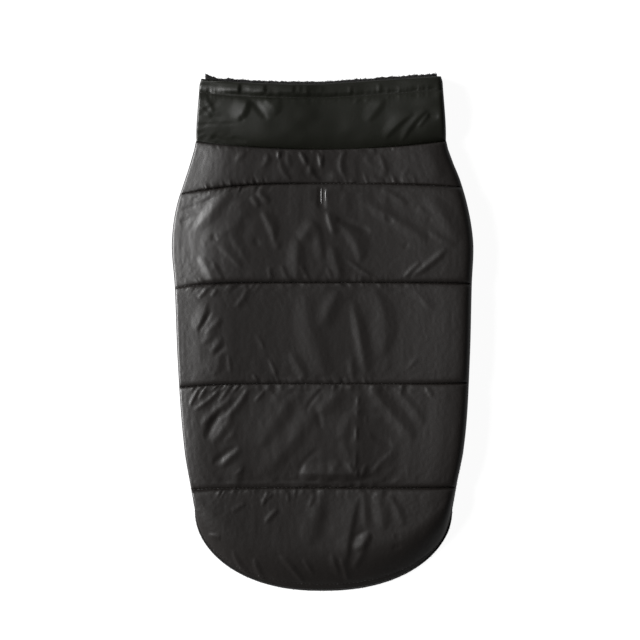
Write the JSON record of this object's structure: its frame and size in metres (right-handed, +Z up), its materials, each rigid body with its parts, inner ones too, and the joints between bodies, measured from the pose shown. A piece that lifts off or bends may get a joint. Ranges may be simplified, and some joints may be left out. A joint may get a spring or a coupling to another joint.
{
  "type": "dog winter coat",
  "caption": "Padded pull-on winter coat for a dog, laid flat with its back up: quilted back, shorter belly with leg holes, stand-up collar and rounded tail.",
  "frame": {"origin": "middle of the coat's underside, on the surface that it lies on", "axes": "+Y towards the collar, +X to the right seen from above with the collar away from the viewer, +Z up through the back"},
  "size_m": [0.2412, 0.4126, 0.0212],
  "materials": {
    "black_nylon": "semi-gloss",
    "black_fleece": "matte"
  },
  "bodies": {
    "root": {"back_panel": "black_nylon", "belly_panel": "black_nylon", "collar": "black_nylon", "slit_welt_left": "black_nylon", "slit_welt_right": "black_nylon", "collar_lining": "black_fleece", "tail_binding": "black_fleece"}
  },
  "joints": []
}
